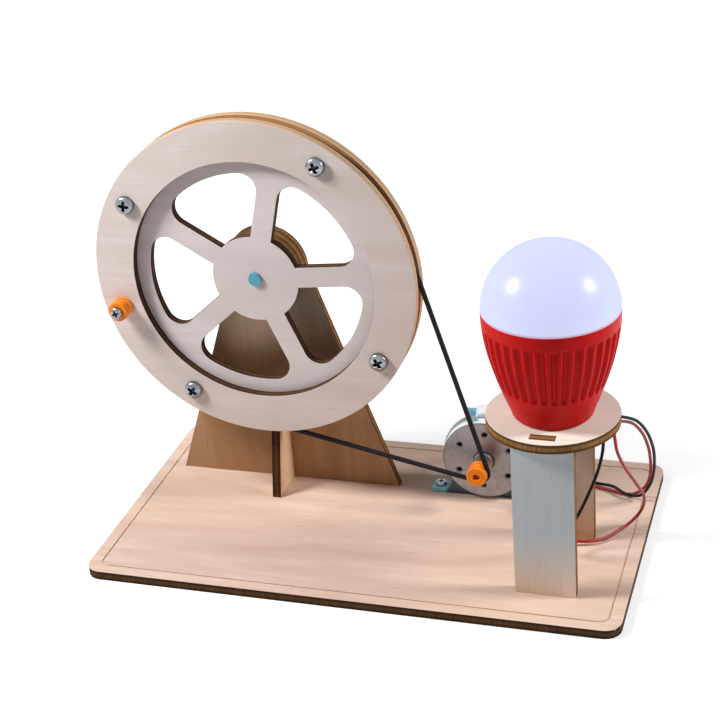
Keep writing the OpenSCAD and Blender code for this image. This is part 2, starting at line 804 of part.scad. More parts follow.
module motor_can() {
  at = [motor_x, motor_z];
  color(steel) difference() {
    bar(at, face_y, motor_back_y, motor_d);
    bar(at, face_y + can_wall, motor_back_y + cut, motor_d - 2 * can_wall);
    bar(at, face_y - cut, motor_back_y, bush_d + 2 * seat_gap);
    for (i = [0:face_hole_count - 1]) {
      bar(at + polar(face_hole_circle_d / 2, face_hole_turn + i * 360 / face_hole_count), face_y - cut,
          face_y + can_wall + cut, face_hole_d);
    }
  }
}

module motor_end_cap() {
  at = [motor_x, motor_z];
  color(dark_plastic) difference() {
    bar(at, end_cap_y, motor_back_y, motor_d - 2 * can_wall - 2 * seat_gap);
    bar(at, end_cap_y - cut, motor_back_y + cut, bush_d + 2 * seat_gap);
    for (s = [-1, 1]) {
      translate([motor_x + s * (terminal_x + terminal_t / 2), motor_back_y, motor_z]) {
        cube([terminal_t + 2 * seat_gap, 4 * end_cap_t, terminal_w + 2 * seat_gap], center = true);
      }
    }
  }
}

module motor_magnets() {
  y0 = face_y + can_wall + seat_gap;
  long = end_cap_y - seat_gap - y0;
  outer = can_in_r - seat_gap;
  color("#404046") translate([motor_x, y0 + long, motor_z]) rotate([90, 0, 0]) linear_extrude(long) {
    for (a = [0, 180]) rotate(a) intersection() {
      difference() {
        circle(outer);
        circle(can_in_r - magnet_t);
      }
      polygon([[0, 0], polar(2 * outer, -magnet_turn), polar(4 * outer, 0), polar(2 * outer, magnet_turn)]);
    }
  }
}

module bush(y0, y1) {
  color(brass) difference() {
    bar([motor_x, motor_z], y0, y1, bush_d);
    bar([motor_x, motor_z], y0 - cut, y1 + cut, shaft_d + 2 * shaft_play);
  }
}

module front_bush() { bush(face_y - bush_proud, face_y + can_wall); }
module rear_bush() { bush(end_cap_y, motor_back_y); }

module motor_brushes() {
  inner = commutator_d / 2 + brush_gap;
  color("#2a2a2a") for (s = [-1, 1]) {
    translate([motor_x + s * (inner + terminal_x) / 2, commutator_y + commutator_len / 2, motor_z]) {
      cube([terminal_x - inner, commutator_len - 2 * end_play, terminal_w], center = true);
    }
  }
}

module motor_terminals() {
  long = motor_back_y + terminal_len - terminal_front_y;
  color(brass) for (s = [-1, 1]) {
    translate([motor_x + s * (terminal_x + terminal_t / 2), terminal_front_y + long / 2, motor_z]) {
      cube([terminal_t, long, terminal_w], center = true);
    }
  }
}

// Motor bracket

function bracket_y() = face_y + bracket_setback;
function foot_screw_y() = bracket_y() + bracket_len / 2;
function foot_screw_xs() = [for (s = [-1, 1]) motor_x + s * (bracket_w / 2 - foot_screw_inset)];

module motor_bracket() {
  outer = motor_r + strap_t;
  knee = polar(motor_r + bracket_wall, -gusset_turn);
  strap_at = [motor_x, foot_screw_y() + strap_w / 2, motor_z];
  color(light_blue) difference() {
    union() {
      translate(strap_at) rotate([90, 0, 0]) linear_extrude(strap_w) {
        circle(outer);
        polygon([
          [bracket_tab_x - bracket_neck_w / 2, 0], [bracket_tab_x + bracket_neck_w / 2, 0],
          [bracket_tab_x + bracket_tab_w / 2, outer + bracket_tab_h],
          [bracket_tab_x - bracket_tab_w / 2, outer + bracket_tab_h],
        ]);
      }
      translate([motor_x, bracket_y() + bracket_len, 0]) rotate([90, 0, 0]) linear_extrude(bracket_len) {
        translate([-bracket_w / 2, base_top]) square([bracket_w, foot_t]);
        polygon([
          [-gusset_w / 2, base_top], [gusset_w / 2, base_top], [gusset_w / 2, base_top + foot_t],
          [knee[0], motor_z + knee[1]], [-knee[0], motor_z + knee[1]], [-gusset_w / 2, base_top + foot_t],
        ]);
      }
    }
    bar([motor_x, motor_z], face_y, motor_back_y, motor_d + 2 * seat_gap);
    for (x = foot_screw_xs()) {
      translate([x, foot_screw_y(), base_top - cut]) {
        cylinder(d = foot_screw_d + 2 * screw_play, h = foot_t + 2 * cut);
      }
    }
  }
}

module bracket_screws() {
  color(zinc) for (x = foot_screw_xs()) {
    translate([x, foot_screw_y(), base_top + foot_t]) rotate([-90, 0, 0]) difference() {
      pan_screw([0, 0], 0, foot_head_d, foot_head_h, foot_screw_d, base_top + foot_t - foot_screw_short);
      cross_recess([0, 0], 0, foot_head_d, foot_head_h);
    }
  }
}

// Lamp stand

module lamp_post(y) {
  color(ply_face) sheet_up(y) translate([lamp_x, 0]) {
    translate([-post_w / 2, base_top]) square([post_w, post_h]);
    translate([-post_tab_w / 2, 0]) square([post_tab_w, lamp_z]);
  }
}

module lamp_post_front() { lamp_post(post_front_y); }
module lamp_post_rear() { lamp_post(post_rear_y); }

module lamp_platform() {
  color(ply_face) translate([lamp_x, lamp_y, platform_z]) linear_extrude(ply_t) difference() {
    circle(d = platform_d);
    circle(d = wire_hole_d);
    for (s = [-1, 1]) {
      box_at([0, s * (post_spread - ply_t) / 2], post_tab_w + 2 * tab_play, ply_t + 2 * tab_play);
    }
  }
}

// Lamp

// Straight grooves between the housing's ribs, each along the chord of its bulging wall
module rib_grooves() {
  low = [housing_r(rib_low), rib_low];
  high = [housing_r(rib_high), rib_high];
  lean = atan2(high[0] - low[0], high[1] - low[1]);
  long = norm(high - low);
  for (i = [0:rib_count - 1]) rotate(rib_turn + i * 360 / rib_count) {
    translate([low[0], 0, low[1]]) rotate([0, lean, 0]) {
      translate([-rib_groove_depth, -rib_groove_w / 2, 0]) {
        cube([rib_groove_depth + 2 * cut, rib_groove_w, long]);
      }
    }
  }
}

module lamp_housing() {
  steps = 14;
  floor_t = housing_wall;
  ledge_top = housing_h - board_depth - board_t;
  heights = [for (i = [0:steps]) foot_round + (housing_h - foot_round) * i / steps];
  inside = [for (i = [0:steps]) floor_t + (housing_h - floor_t) * i / steps];
  ledge_r = housing_r(ledge_top) - housing_wall;
  color("#c81e1a") translate([lamp_x, lamp_y, lamp_z]) difference() {
    union() {
      difference() {
        rotate_extrude() polygon(concat(
          [[0, 0], [housing_r(0) - foot_round, 0]], [for (h = heights) [housing_r(h), h]], [[0, housing_h]]
        ));
        rotate_extrude() polygon(concat(
          [[0, floor_t]], [for (h = inside) [housing_r(h) - housing_wall, h]],
          [[housing_r(housing_h) - housing_wall, housing_h + cut], [0, housing_h + cut]]
        ));
        rib_grooves();
      }
      translate([0, 0, ledge_top - ledge_t]) rotate_extrude() {
        polygon([
          [ledge_r - ledge_w, 0], [housing_r(ledge_top - ledge_t) - housing_wall / 2, 0],
          [housing_r(ledge_top) - housing_wall / 2, ledge_t], [ledge_r - ledge_w, ledge_t],
        ]);
      }
    }
    translate([0, 0, -cut]) cylinder(d = wire_hole_d, h = floor_t + 2 * cut);
  }
}

module lamp_dome() {
  color("#dfe4fa") translate([lamp_x, lamp_y, seam_z]) difference() {
    sphere(lamp_r);
    sphere(lamp_r - dome_wall);
    translate([0, 0, -lamp_d]) linear_extrude(lamp_d) circle(lamp_d);
  }
}

module lamp_board() {
  color("#e8e8e4") translate([lamp_x, lamp_y, board_z]) cylinder(r = board_r, h = board_t);
}

module lamp_diodes() {
  at = [lamp_x, lamp_y, board_z + board_t + led_h / 2];
  color("#f0e080") translate(at) for (i = [0:led_count - 1]) rotate(i * 360 / led_count) {
    translate([led_circle_d / 2, 0, 0]) cube([led_w, led_w, led_h], center = true);
  }
}

// Wires

module red_wire() {
  color("#c01818") tube(wire_route(red_end, red_bend, red_loop, red_up), wire_d, 8, [0, 0, 1]);
}

module black_wire() {
  color("#202020") tube(wire_route(black_end, black_bend, black_loop, black_up), wire_d, 8, [0, 0, 1]);
}

base_plate();
wheel_stand_plate();
stand_cross_plate();
bearing_disc_front();
bearing_disc_middle();
bearing_disc_rear();
wheel_front_ring();
wheel_spoked_disc();
wheel_rear_ring();
wheel_screws();
wheel_nuts();
axle();
axle_collar();
crank_pin();
crank_pin_nut();
crank_knob();
drive_belt();
drive_pulley();
motor_shaft();
armature_core();
armature_windings();
commutator();
motor_can();
motor_end_cap();
motor_magnets();
front_bush();
rear_bush();
motor_brushes();
motor_terminals();
motor_bracket();
bracket_screws();
lamp_post_front();
lamp_post_rear();
lamp_platform();
lamp_housing();
lamp_dome();
lamp_board();
lamp_diodes();
red_wire();
black_wire();
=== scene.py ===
import bpy
import numpy as np
from mathutils import Matrix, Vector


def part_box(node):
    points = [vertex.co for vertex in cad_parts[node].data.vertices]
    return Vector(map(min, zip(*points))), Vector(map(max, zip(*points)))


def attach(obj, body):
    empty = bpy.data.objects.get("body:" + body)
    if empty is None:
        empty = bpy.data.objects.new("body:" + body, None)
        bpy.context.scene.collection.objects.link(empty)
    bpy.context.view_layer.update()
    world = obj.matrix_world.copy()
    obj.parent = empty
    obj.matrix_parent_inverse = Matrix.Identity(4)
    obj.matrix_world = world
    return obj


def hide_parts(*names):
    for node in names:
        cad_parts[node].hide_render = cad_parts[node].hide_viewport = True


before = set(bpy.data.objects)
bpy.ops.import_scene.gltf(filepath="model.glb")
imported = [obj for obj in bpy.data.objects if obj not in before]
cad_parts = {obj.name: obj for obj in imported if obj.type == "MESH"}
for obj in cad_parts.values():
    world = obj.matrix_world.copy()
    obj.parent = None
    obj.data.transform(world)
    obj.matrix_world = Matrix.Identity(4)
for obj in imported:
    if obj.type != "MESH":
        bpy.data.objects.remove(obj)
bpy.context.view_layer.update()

# Camera
# The photograph's own viewpoint, found from the outlines of the base, the stand, the wheel and the lamp. It
# looks down on the crank's side from the lamp's end.
camera = bpy.data.objects.new("camera", bpy.data.cameras.new("camera"))
bpy.context.scene.collection.objects.link(camera)
bpy.context.scene.camera = camera
bpy.context.scene.view_settings.view_transform = "Standard"
camera.data.lens = 84.83
camera.data.sensor_width = 36
yaw, pitch, roll = -0.33068, -0.47012, 0.0803
camera_place = np.array([0.140598, -0.418796, 0.281298])
forward = np.array([np.sin(yaw) * np.cos(pitch), np.cos(yaw) * np.cos(pitch), np.sin(pitch)])
level = np.array([np.cos(yaw), -np.sin(yaw), 0])
below = np.cross(forward, level)
right = np.cos(roll) * level + np.sin(roll) * below
down = np.cos(roll) * below - np.sin(roll) * level
camera.matrix_world = Matrix.LocRotScale(
    camera_place, Matrix(np.array([right, -down, -forward]).T.tolist()), None)


# Wires
# Two thin stranded copper wires in soft vinyl, red and black, soldered to the motor's terminals. They lie
# on the base, stand up in a loose loop beside the lamp stand, and go up between its posts to the board.
def linear(*srgb):
    """Linear colour with alpha 1 of an sRGB colour in 0 to 255: ((c + 0.055) / 1.055) ** 2.4 above
    0.04045, and c / 12.92 below."""
    c = np.array(srgb) / 255
    return (*np.where(c <= 0.04045, c / 12.92, ((c + 0.055) / 1.055) ** 2.4), 1)


def feed(tree, node, sockets):
    """Sets a shader node's inputs, each to a value or to another node's output."""
    for name, value in sockets.items():
        if isinstance(value, bpy.types.NodeSocket):
            tree.links.new(value, node.inputs[name])
        else:
            node.inputs[name].default_value = value


def place(tree, kind, sockets, **settings):
    """Adds a shader node: settings are its own properties, and sockets its inputs."""
    node = tree.nodes.new("ShaderNode" + kind)
    for name, value in settings.items():
        setattr(node, name, value)
    feed(tree, node, sockets)
    return node


def object_place(tree):
    """Object coordinates of the point that is shaded."""
    return place(tree, "TexCoord", {}).outputs["Object"]


def xyz(tree, vector):
    """The three values of a vector."""
    return place(tree, "SeparateXYZ", {0: vector}).outputs


def calc(tree, operation, a, b=0.0):
    """One step of arithmetic on two values."""
    return place(tree, "Math", {0: a, 1: b}, operation=operation).outputs[0]


def ramp(tree, value, low, high, to_low=0.0, to_high=1.0):
    """Value carried from the span low..high to the span to_low..to_high, and held at the ends."""
    sockets = {"Value": value, "From Min": low, "From Max": high, "To Min": to_low, "To Max": to_high}
    return place(tree, "MapRange", sockets).outputs[0]


def mix(tree, share, a, b):
    """Colour a with the given share of colour b."""
    return place(tree, "Mix", {0: share, 6: a, 7: b}, data_type="RGBA").outputs[2]


def stretch(tree, vector, scale):
    """Coordinates times a scale for each axis."""
    return place(tree, "VectorMath", {0: vector, 1: scale}, operation="MULTIPLY").outputs[0]


def cloudy(tree, vector, scale, detail, warp=0.0):
    """Soft noise from 0 to 1, with so many features per metre along each axis."""
    sockets = {"Vector": stretch(tree, vector, scale), "Scale": 1.0, "Detail": detail, "Distortion": warp}
    return place(tree, "TexNoise", sockets).outputs[0]


def effect(name, inputs, outputs):
    """Starts a shader node group with named sockets: returns it, its inputs and its outputs."""
    group = bpy.data.node_groups.new(name, "ShaderNodeTree")
    for label, kind in inputs.items():
        group.interface.new_socket(label, in_out="INPUT", socket_type="NodeSocket" + kind)
    for label, kind in outputs.items():
        group.interface.new_socket(label, in_out="OUTPUT", socket_type="NodeSocket" + kind)
    return group, group.nodes.new("NodeGroupInput").outputs, group.nodes.new("NodeGroupOutput").inputs


def put_out(group, sockets, **values):
    """Links values to a group's named outputs."""
    for label, value in values.items():
        group.links.new(value, sockets[label])


def new_material(name):
    """An empty material: returns it, its node tree and its Object coordinates."""
    material = bpy.data.materials.new(name)
    material.use_nodes = True
    return material, material.node_tree, object_place(material.node_tree)


def surface(tree, sockets, height=None, depth=0.0):
    """Sets the material's Principled shader, and its Normal from a height in 0 to 1, depth metres high."""
    if height is not None:
        bump = place(tree, "Bump", {"Height": height, "Distance": depth, "Strength": 1.0})
        sockets = {**sockets, "Normal": bump.outputs[0]}
    feed(tree, tree.nodes["Principled BSDF"], sockets)


def moulded_plastic_group():
    """Moulded plastic: faint clouds of colour and gloss over a very fine skin texture."""
    group, into, out = effect(
        "moulded plastic",
        {"Place": "Vector", "Tone": "Color", "Deep": "Color", "Gloss": "Float"},
        {"Color": "Color", "Roughness": "Float", "Height": "Float"})
    cloud = cloudy(group, into["Place"], (260, 260, 260), 3.0)
    skin = cloudy(group, into["Place"], (5200, 5200, 5200), 2.0)
    flow = cloudy(group, into["Place"], (700, 700, 120), 2.0, 0.6)
    share = calc(group, "ADD", ramp(group, cloud, 0.3, 0.75, 0, 0.5), ramp(group, flow, 0.25, 0.95, 0, 0.4))
    color = mix(group, share, into["Tone"], into["Deep"])
    rough = calc(group, "ADD", into["Gloss"], ramp(group, flow, 0.3, 0.7, -0.05, 0.08))
    put_out(group, out, Color=color, Roughness=rough, Height=skin)
    return group


moulded_plastic = moulded_plastic_group()


def plastic(name, tone, deep, gloss, depth=0.00001, **plain):
    """Material of moulded plastic in two close tones, with the shader's plain values."""
    material, tree, at = new_material(name)
    inputs = {"Place": at, "Tone": tone, "Deep": deep, "Gloss": gloss}
    skin = place(tree, "Group", inputs, node_tree=moulded_plastic).outputs
    sockets = {"Base Color": skin["Color"], "Roughness": skin["Roughness"], **plain}
    surface(tree, sockets, skin["Height"] if depth else None, depth)
    return material


def smooth_line(points, steps):
    """Catmull-Rom curve: from b to c, with neighbours a and d, the point at t is
    b + t (c - a) / 2 + t^2 (2a - 5b + 4c - d) / 2 + t^3 (3 (b - c) + d - a) / 2."""
    p = np.concatenate([2 * points[:1] - points[1:2], points, 2 * points[-1:] - points[-2:-1]])
    a, b, c, d = p[:-3, None], p[1:-2, None], p[2:-1, None], p[3:, None]
    t = (np.arange(steps) / steps)[None, :, None]
    line = b + (t * (c - a) + t**2 * (2 * a - 5 * b + 4 * c - d) + t**3 * (3 * (b - c) + d - a)) / 2
    return np.concatenate([line.reshape(-1, 3), points[-1:]])


def unit(v):
    """Vectors scaled to length 1."""
    return v / np.linalg.norm(v, axis=-1, keepdims=True)


def carried(along, start):
    """A direction across a line, carried along its tangents without twist, one tangent after the other."""
    across = [start]
    for step in along:
        across.append(unit(across[-1] - (across[-1] @ step) * step))
    return np.array(across[1:])


def round_tube(line, along, across, radius, sides):
    """Grid of a round tube: line + radius (cos a across + sin a along x across), for angles a round it."""
    a = 2 * np.pi * np.arange(sides) / sides
    other = np.cross(along, across)
    ring = np.cos(a)[None, :, None] * across[:, None] + np.sin(a)[None, :, None] * other[:, None]
    return line[:, None] + radius * ring


def piece(name, grid, material, body, endless=False):
    """Mesh piece from a grid of points whose rows are closed rings. The last ring joins the first where the
    piece is endless, and elsewhere both end rings are capped."""
    rows, columns = grid.shape[:2]
    index = np.arange(rows * columns).reshape(rows, columns)
    caps = [] if endless else [index[0].tolist(), index[-1, ::-1].tolist()]
    if endless:
        index = np.concatenate([index, index[:1]])
    index = np.concatenate([index, index[:, :1]], axis=1)
    quads = np.stack([index[:-1, :-1], index[1:, :-1], index[1:, 1:], index[:-1, 1:]], axis=-1)
    quads = quads.reshape(-1, 4)
    faces = quads.tolist() + caps
    mesh = bpy.data.meshes.new(name)
    mesh.from_pydata(grid.reshape(-1, 3).tolist(), [], faces)
    mesh.polygons.foreach_set("use_smooth", np.arange(len(faces)) < len(quads))
    mesh.materials.append(material)
    made = bpy.data.objects.new(name, mesh)
    bpy.context.scene.collection.objects.link(made)
    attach(made, body)
    return made


wire_d = 0.00095
wire_steps, wire_sides = 12, 14
red_route = np.array([
    [34.25, 30.4, 16.8], [34.25, 33.5, 16.8], [35.55, 36.5, 12.5], [39.05, 37, 6], [44, 35, 3.7],
    [52, 31.4, 3.4], [60, 28, 3.4], [66, 26, 3.4], [71, 24.6, 3.5], [75, 24, 5.2], [77.8, 21.6, 10],
    [79.1, 18.6, 16], [79.5, 15, 22.5], [79.4, 11, 29], [78.4, 6.5, 35.8], [76.4, 1.8, 41.4],
    [74, -3, 44.6], [72.6, -6.2, 46], [72.8, -9.2, 45.2], [73.4, -10.6, 42.2], [73.9, -9.4, 37.8],
    [75.3, -5.5, 31], [77.4, -0.5, 23.5], [79.2, 4.5, 16], [78.2, 8, 9.4], [75.4, 7.4, 5.2],
    [72, 3.5, 3.8], [68.4, -1.5, 3.8], [64, -4.6, 4.2], [59, -5.6, 4.4], [55, -8.5, 5.5],
    [53.4, -12.5, 10.5], [54.2, -15.2, 19], [55.8, -15.5, 31], [55.8, -15.5, 47.2],
    [55.8, -15.5, 81.6]]) / 1000
black_route = np.array([
    [23.75, 30.4, 16.8], [23.75, 33.5, 16.8], [25.45, 37, 12], [29.95, 39, 6], [37, 38.6, 3.7],
    [45, 36, 3.4], [53, 32.6, 3.4], [60.6, 29.4, 3.5], [66.4, 26.4, 4.7], [71, 23.2, 4.4],
    [75.6, 22, 5.2], [78.6, 20.4, 10], [80.1, 17.8, 16], [80.8, 14.4, 22.5], [80.9, 10.4, 29.2],
    [79.9, 5.8, 36.5], [77.8, 1, 42.7], [74.9, -3.6, 46.3], [72.3, -6.6, 47.7], [70.4, -8.6, 46.4],
    [70, -9.4, 43], [69.4, -8.6, 37], [67.8, -7.4, 30], [65.4, -6.6, 23], [62.4, -6.4, 15.5],
    [59.8, -8.2, 11], [58.2, -11.6, 9.6], [57.6, -14.6, 13], [58, -15.5, 20], [58.2, -15.5, 36],
    [58.2, -15.5, 47.2], [58.2, -15.5, 81.6]]) / 1000
red_vinyl = plastic("red_vinyl", linear(176, 16, 24), linear(134, 8, 14), 0.34)
black_vinyl = plastic("black_vinyl", linear(12, 11, 13), linear(20, 18, 21), 0.36,
                      **{"Specular IOR Level": 0.15})
for name, route, vinyl in (("red_wire", red_route, red_vinyl), ("black_wire", black_route, black_vinyl)):
    line = smooth_line(route, wire_steps)
    along = unit(np.gradient(line, axis=0))
    across = carried(along, np.array([0, 0, 1.0]))
    grid = round_tube(line, along, across, wire_d / 2, wire_sides)
    wire = piece(name + "_run", grid, vinyl, "frame")
    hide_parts(name)


# Floor and light
# A plain white floor that keeps the soft shadow and brightens away from the object. One soft box stands on
# the left in front and a weaker one on the right, where the dome shows them, and a pale room fills the rest.
def light_path_share(tree):
    """1 for rays from the camera, off gloss or through glass, which see the white background."""
    path = place(tree, "LightPath", {}).outputs
    seen = calc(tree, "MAXIMUM", path["Is Camera Ray"], path["Is Glossy Ray"])
    return calc(tree, "MAXIMUM", seen, path["Is Transmission Ray"])


room_light = 0.12
world = bpy.data.worlds.new("studio")
bpy.context.scene.world = world
world.use_nodes = True
background = world.node_tree.nodes["Background"]
background.inputs["Color"].default_value = (1, 1, 1, 1)
strength = ramp(world.node_tree, light_path_share(world.node_tree), 0, 1, room_light, 1)
world.node_tree.links.new(strength, background.inputs["Strength"])

floor_half = 4.0
corners = floor_half * np.array([[-1, -1, 0], [1, -1, 0], [1, 1, 0], [-1, 1, 0]])
floor_mesh = bpy.data.meshes.new("floor")
floor_mesh.from_pydata(corners.tolist(), [], [[0, 1, 2, 3]])
floor = bpy.data.objects.new("floor", floor_mesh)
bpy.context.scene.collection.objects.link(floor)
floor_paint, tree, at = new_material("floor_paint")
near, far, near_glow = 0.10, 0.30, 0.4
away = place(tree, "VectorMath", {0: at}, operation="LENGTH").outputs["Value"]
glow = calc(tree, "MULTIPLY", light_path_share(tree), ramp(tree, away, near, far, near_glow, 1.0))
surface(tree, {"Base Color": linear(238, 238, 238), "Roughness": 1.0, "Specular IOR Level": 0.0,
               "Emission Color": mix(tree, glow, (0, 0, 0, 1), (1, 1, 1, 1)), "Emission Strength": 1.0})
floor_mesh.materials.append(floor_paint)

dome_middle = np.array([0.057, -0.0155, 0.085])
soft_box_d = 0.11
for name, toward, reach, power in (
        ("left_soft_box", (-0.784, -0.230, 0.574), 0.40, 1.62),
        ("right_soft_box", (0.841, 0.123, 0.530), 0.45, 1.6)):
    lamp = bpy.data.lights.new(name, "AREA")
    lamp.shape = "DISK"
    lamp.size = soft_box_d
    lamp.energy = power
    soft_box = bpy.data.objects.new(name, lamp)
    bpy.context.scene.collection.objects.link(soft_box)
    aim = unit(np.array(toward))
    across = unit(np.cross([0, 0, 1.0], aim))
    turn = np.array([across, np.cross(aim, across), aim]).T
    soft_box.matrix_world = Matrix.LocRotScale(dome_middle + reach * aim, Matrix(turn.tolist()), None)


# Base plate
# One sheet of 2.8 mm three-ply birch, cut by laser, so that its edges are burnt dark brown. A thin border
# line is engraved round its top.
sheet_t = 0.0028


def plywood_group():
    """Three-ply: a face veneer with streaks, fibres and pores along x, and a cut edge with its plies along
    z, scored by the beam. The edge is where the normal leaves the sheet's axis."""
    group, into, out = effect(
        "plywood",
        {"Place": "Vector", "Axis": "Vector", "Face": "Color", "Figure": "Color", "Char": "Color",
         "Core": "Color"},
        {"Color": "Color", "Roughness": "Float", "Height": "Float"})
    at = into["Place"]
    normal = place(group, "TexCoord", {}).outputs["Normal"]
    facing = place(group, "VectorMath", {0: normal, 1: into["Axis"]}, operation="DOT_PRODUCT")
    edge = ramp(group, calc(group, "ABSOLUTE", facing.outputs["Value"]), 0.6, 0.93, 1, 0)
    broad = cloudy(group, at, (9, 46, 20), 2.0, 1.4)
    streak = cloudy(group, at, (34, 520, 200), 4.0, 0.5)
    fibre = cloudy(group, at, (240, 4800, 900), 2.0)
    pore = ramp(group, cloudy(group, at, (110, 2500, 500), 1.0), 0.66, 0.76)
    veneer = mix(group, ramp(group, broad, 0.36, 0.66), into["Face"], into["Figure"])
    shade = calc(group, "ADD", ramp(group, streak, 0.35, 0.7, 0, 0.5), ramp(group, fibre, 0.3, 0.75, 0, 0.3))
    shade = calc(group, "ADD", shade, calc(group, "MULTIPLY", pore, 0.5))
    veneer = mix(group, shade, veneer, into["Figure"])
    veneer = mix(group, calc(group, "MULTIPLY", pore, 0.13), veneer, into["Core"])
    through = calc(group, "DIVIDE", xyz(group, at)[2], sheet_t)
    score = cloudy(group, at, (2300, 2300, 130), 2.0)
    blotch = cloudy(group, at, (150, 150, 150), 2.0)
    wave = calc(group, "ADD", through, ramp(group, blotch, 0.2, 0.8, -0.04, 0.04))
    core = ramp(group, calc(group, "ABSOLUTE", calc(group, "SUBTRACT", wave, 0.5)), 0.16, 0.24, 1, 0)
    share = calc(group, "MULTIPLY", calc(group, "ADD", calc(group, "MULTIPLY", core, 0.75), 0.18),
                 ramp(group, score, 0.3, 0.68, 0.45, 1.1))
    share = calc(group, "MULTIPLY", share, ramp(group, blotch, 0.3, 0.7, 0.7, 1.15))
    burnt = mix(group, share, into["Char"], into["Core"])
    grain = calc(group, "SUBTRACT", calc(group, "ADD", streak, calc(group, "MULTIPLY", fibre, 0.6)), pore)
    rough = calc(group, "ADD", ramp(group, edge, 0, 1, 0.56, 0.72), ramp(group, streak, 0.3, 0.7, 0, 0.08))
    put_out(group, out, Color=mix(group, edge, veneer, burnt), Roughness=rough,
            Height=mix(group, edge, grain, score))
    return group


plywood = plywood_group()
sheet_turns = {
    "flat": ((1, 0, 0), (0, 1, 0), (0, 0, 1)),
    "level": ((1, 0, 0), (0, 0, -1), (0, 1, 0)),
    "upright": ((0, 0, 1), (1, 0, 0), (0, 1, 0)),
    "crosswise": ((0, 0, 1), (0, 1, 0), (1, 0, 0)),
}
sheet_edge_round, grain_depth = 0.00012, 0.00003


def soften(node, width):
    """Joins a CAD node's loose triangles and rounds its sharp edges off by this width."""
    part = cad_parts[node]
    part.modifiers.new("join", "WELD").merge_threshold = 0.000001
    round_off = part.modifiers.new("round_off", "BEVEL")
    round_off.width = width
    round_off.segments = 2
    round_off.limit_method = "ANGLE"
    round_off.angle_limit = np.radians(35)


def dress(node, material):
    """Gives a CAD node its material."""
    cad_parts[node].data.materials.clear()
    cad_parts[node].data.materials.append(material)


def sheet_material(node, lie, face, figure, char, core, shift=0.0):
    """Plywood of one sheet: its grain's x runs along the veneer, and z through the sheet from its back or
    underside. Returns the material's node tree and its plywood group."""
    material, tree, at = new_material(node + "_ply")
    turn = np.array(sheet_turns[lie])
    low = turn @ np.array(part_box(node)[0])
    if np.linalg.det(turn) < 0:
        turn[1] *= -1
    lies = {"Rotation": Matrix(turn.tolist()).to_euler(), "Location": (shift, 0.7 * shift, -low[2])}
    grain = place(tree, "Mapping", {"Vector": at, **lies}).outputs[0]
    tones = {"Face": face, "Figure": figure, "Char": char, "Core": core}
    look = place(tree, "Group", {"Place": grain, "Axis": turn[2], **tones}, node_tree=plywood)
    sockets = {"Base Color": look.outputs["Color"], "Roughness": look.outputs["Roughness"]}
    surface(tree, {**sockets, "Specular IOR Level": 0.12}, look.outputs["Height"], grain_depth)
    dress(node, material)
    soften(node, sheet_edge_round)
    return tree, look


def so_far(tree, label="Base Color"):
    """What feeds an input of the material's Principled shader up to now."""
    return tree.nodes["Principled BSDF"].inputs[label].links[0].from_socket


def repaint(tree, share, tone):
    """Gives the material's colour this share of another tone."""
    surface(tree, {"Base Color": mix(tree, share, so_far(tree), tone)})


base_half_x, base_half_y, base_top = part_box("base_plate")[1]
engraved_depth, line_inset = 0.0003, 0.001
tree, _ = sheet_material("base_plate", "flat", linear(238, 211, 193), linear(216, 186, 166),
                         linear(40, 25, 14), linear(100, 68, 38))
x, y, z = xyz(tree, object_place(tree))
in_line = ramp(tree, z, base_top - 0.3 * engraved_depth, base_top - 0.1 * engraved_depth, 1, 0)
for along, half in ((x, base_half_x), (y, base_half_y)):
    from_edge = calc(tree, "SUBTRACT", half, calc(tree, "ABSOLUTE", along))
    in_line = calc(tree, "MULTIPLY", in_line, ramp(tree, from_edge, line_inset, 1.5 * line_inset))
above = ramp(tree, z, base_top - 1.5 * engraved_depth, base_top - 1.2 * engraved_depth)
in_line = calc(tree, "MULTIPLY", in_line, above)
repaint(tree, in_line, linear(228, 198, 176))


# Wheel stand
# A tapered plywood plate with a rounded top carries the axle, and a lower plate laps it crosswise. The
# tall plate's veneer is painted darker and greyer upward: painted shade for the wheel's shadow on it. Both
# stand in slots of the base by tabs, and three glued discs hold the wheel off the plate.
def go_over(tree, look, labels, share, tones, others):
    """Lets two tones of a sheet, named by their labels, go over to others by this share."""
    for label, tone, other in zip(labels, tones, others):
        tree.links.new(mix(tree, share, tone, other), look.inputs[label])


# Painted shade: darker tones for the stand plate, going over to greyer ones upward, for the wheel's shadow.
shadowed_stand_tones = linear(182, 145, 112), linear(162, 121, 86)
painted_shadow_tones = linear(172, 154, 138), linear(152, 132, 114)
shadow_from, shadow_to = base_top + 0.04, base_top + 0.06
tree, look = sheet_material("wheel_stand_plate", "upright", *shadowed_stand_tones, linear(58, 34, 18),
                            linear(158, 108, 56), 0.31)
painted_shadow_share = ramp(tree, xyz(tree, object_place(tree))[2], shadow_from, shadow_to)
go_over(tree, look, ("Face", "Figure"), painted_shadow_share, shadowed_stand_tones, painted_shadow_tones)
sheet_material("stand_cross_plate", "crosswise", linear(240, 208, 172), linear(224, 186, 146),
               linear(44, 26, 15), linear(92, 58, 32), 0.52)
for i, node in enumerate(("bearing_disc_front", "bearing_disc_middle", "bearing_disc_rear")):
    sheet_material(node, "level", linear(222, 184, 144), linear(202, 158, 112), linear(70, 44, 22),
                   linear(176, 128, 72), 0.9 + 0.2 * i)


# Wheel
# Two plywood rings and a spoked disc between them, glued and screwed together. The spoked disc is smaller,
# which leaves a groove for the belt. The cut edges are golden on the outside and dark brown in the windows.
def corners_of(node):
    """Low and high corners of a CAD node's box."""
    return np.array([list(corner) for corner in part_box(node)])


def reach_from(tree, middle, axes):
    """Distance from a middle, over the axes that have a 1."""
    off = place(tree, "VectorMath", {0: object_place(tree), 1: middle}, operation="SUBTRACT").outputs[0]
    return place(tree, "VectorMath", {0: stretch(tree, off, axes)}, operation="LENGTH").outputs["Value"]


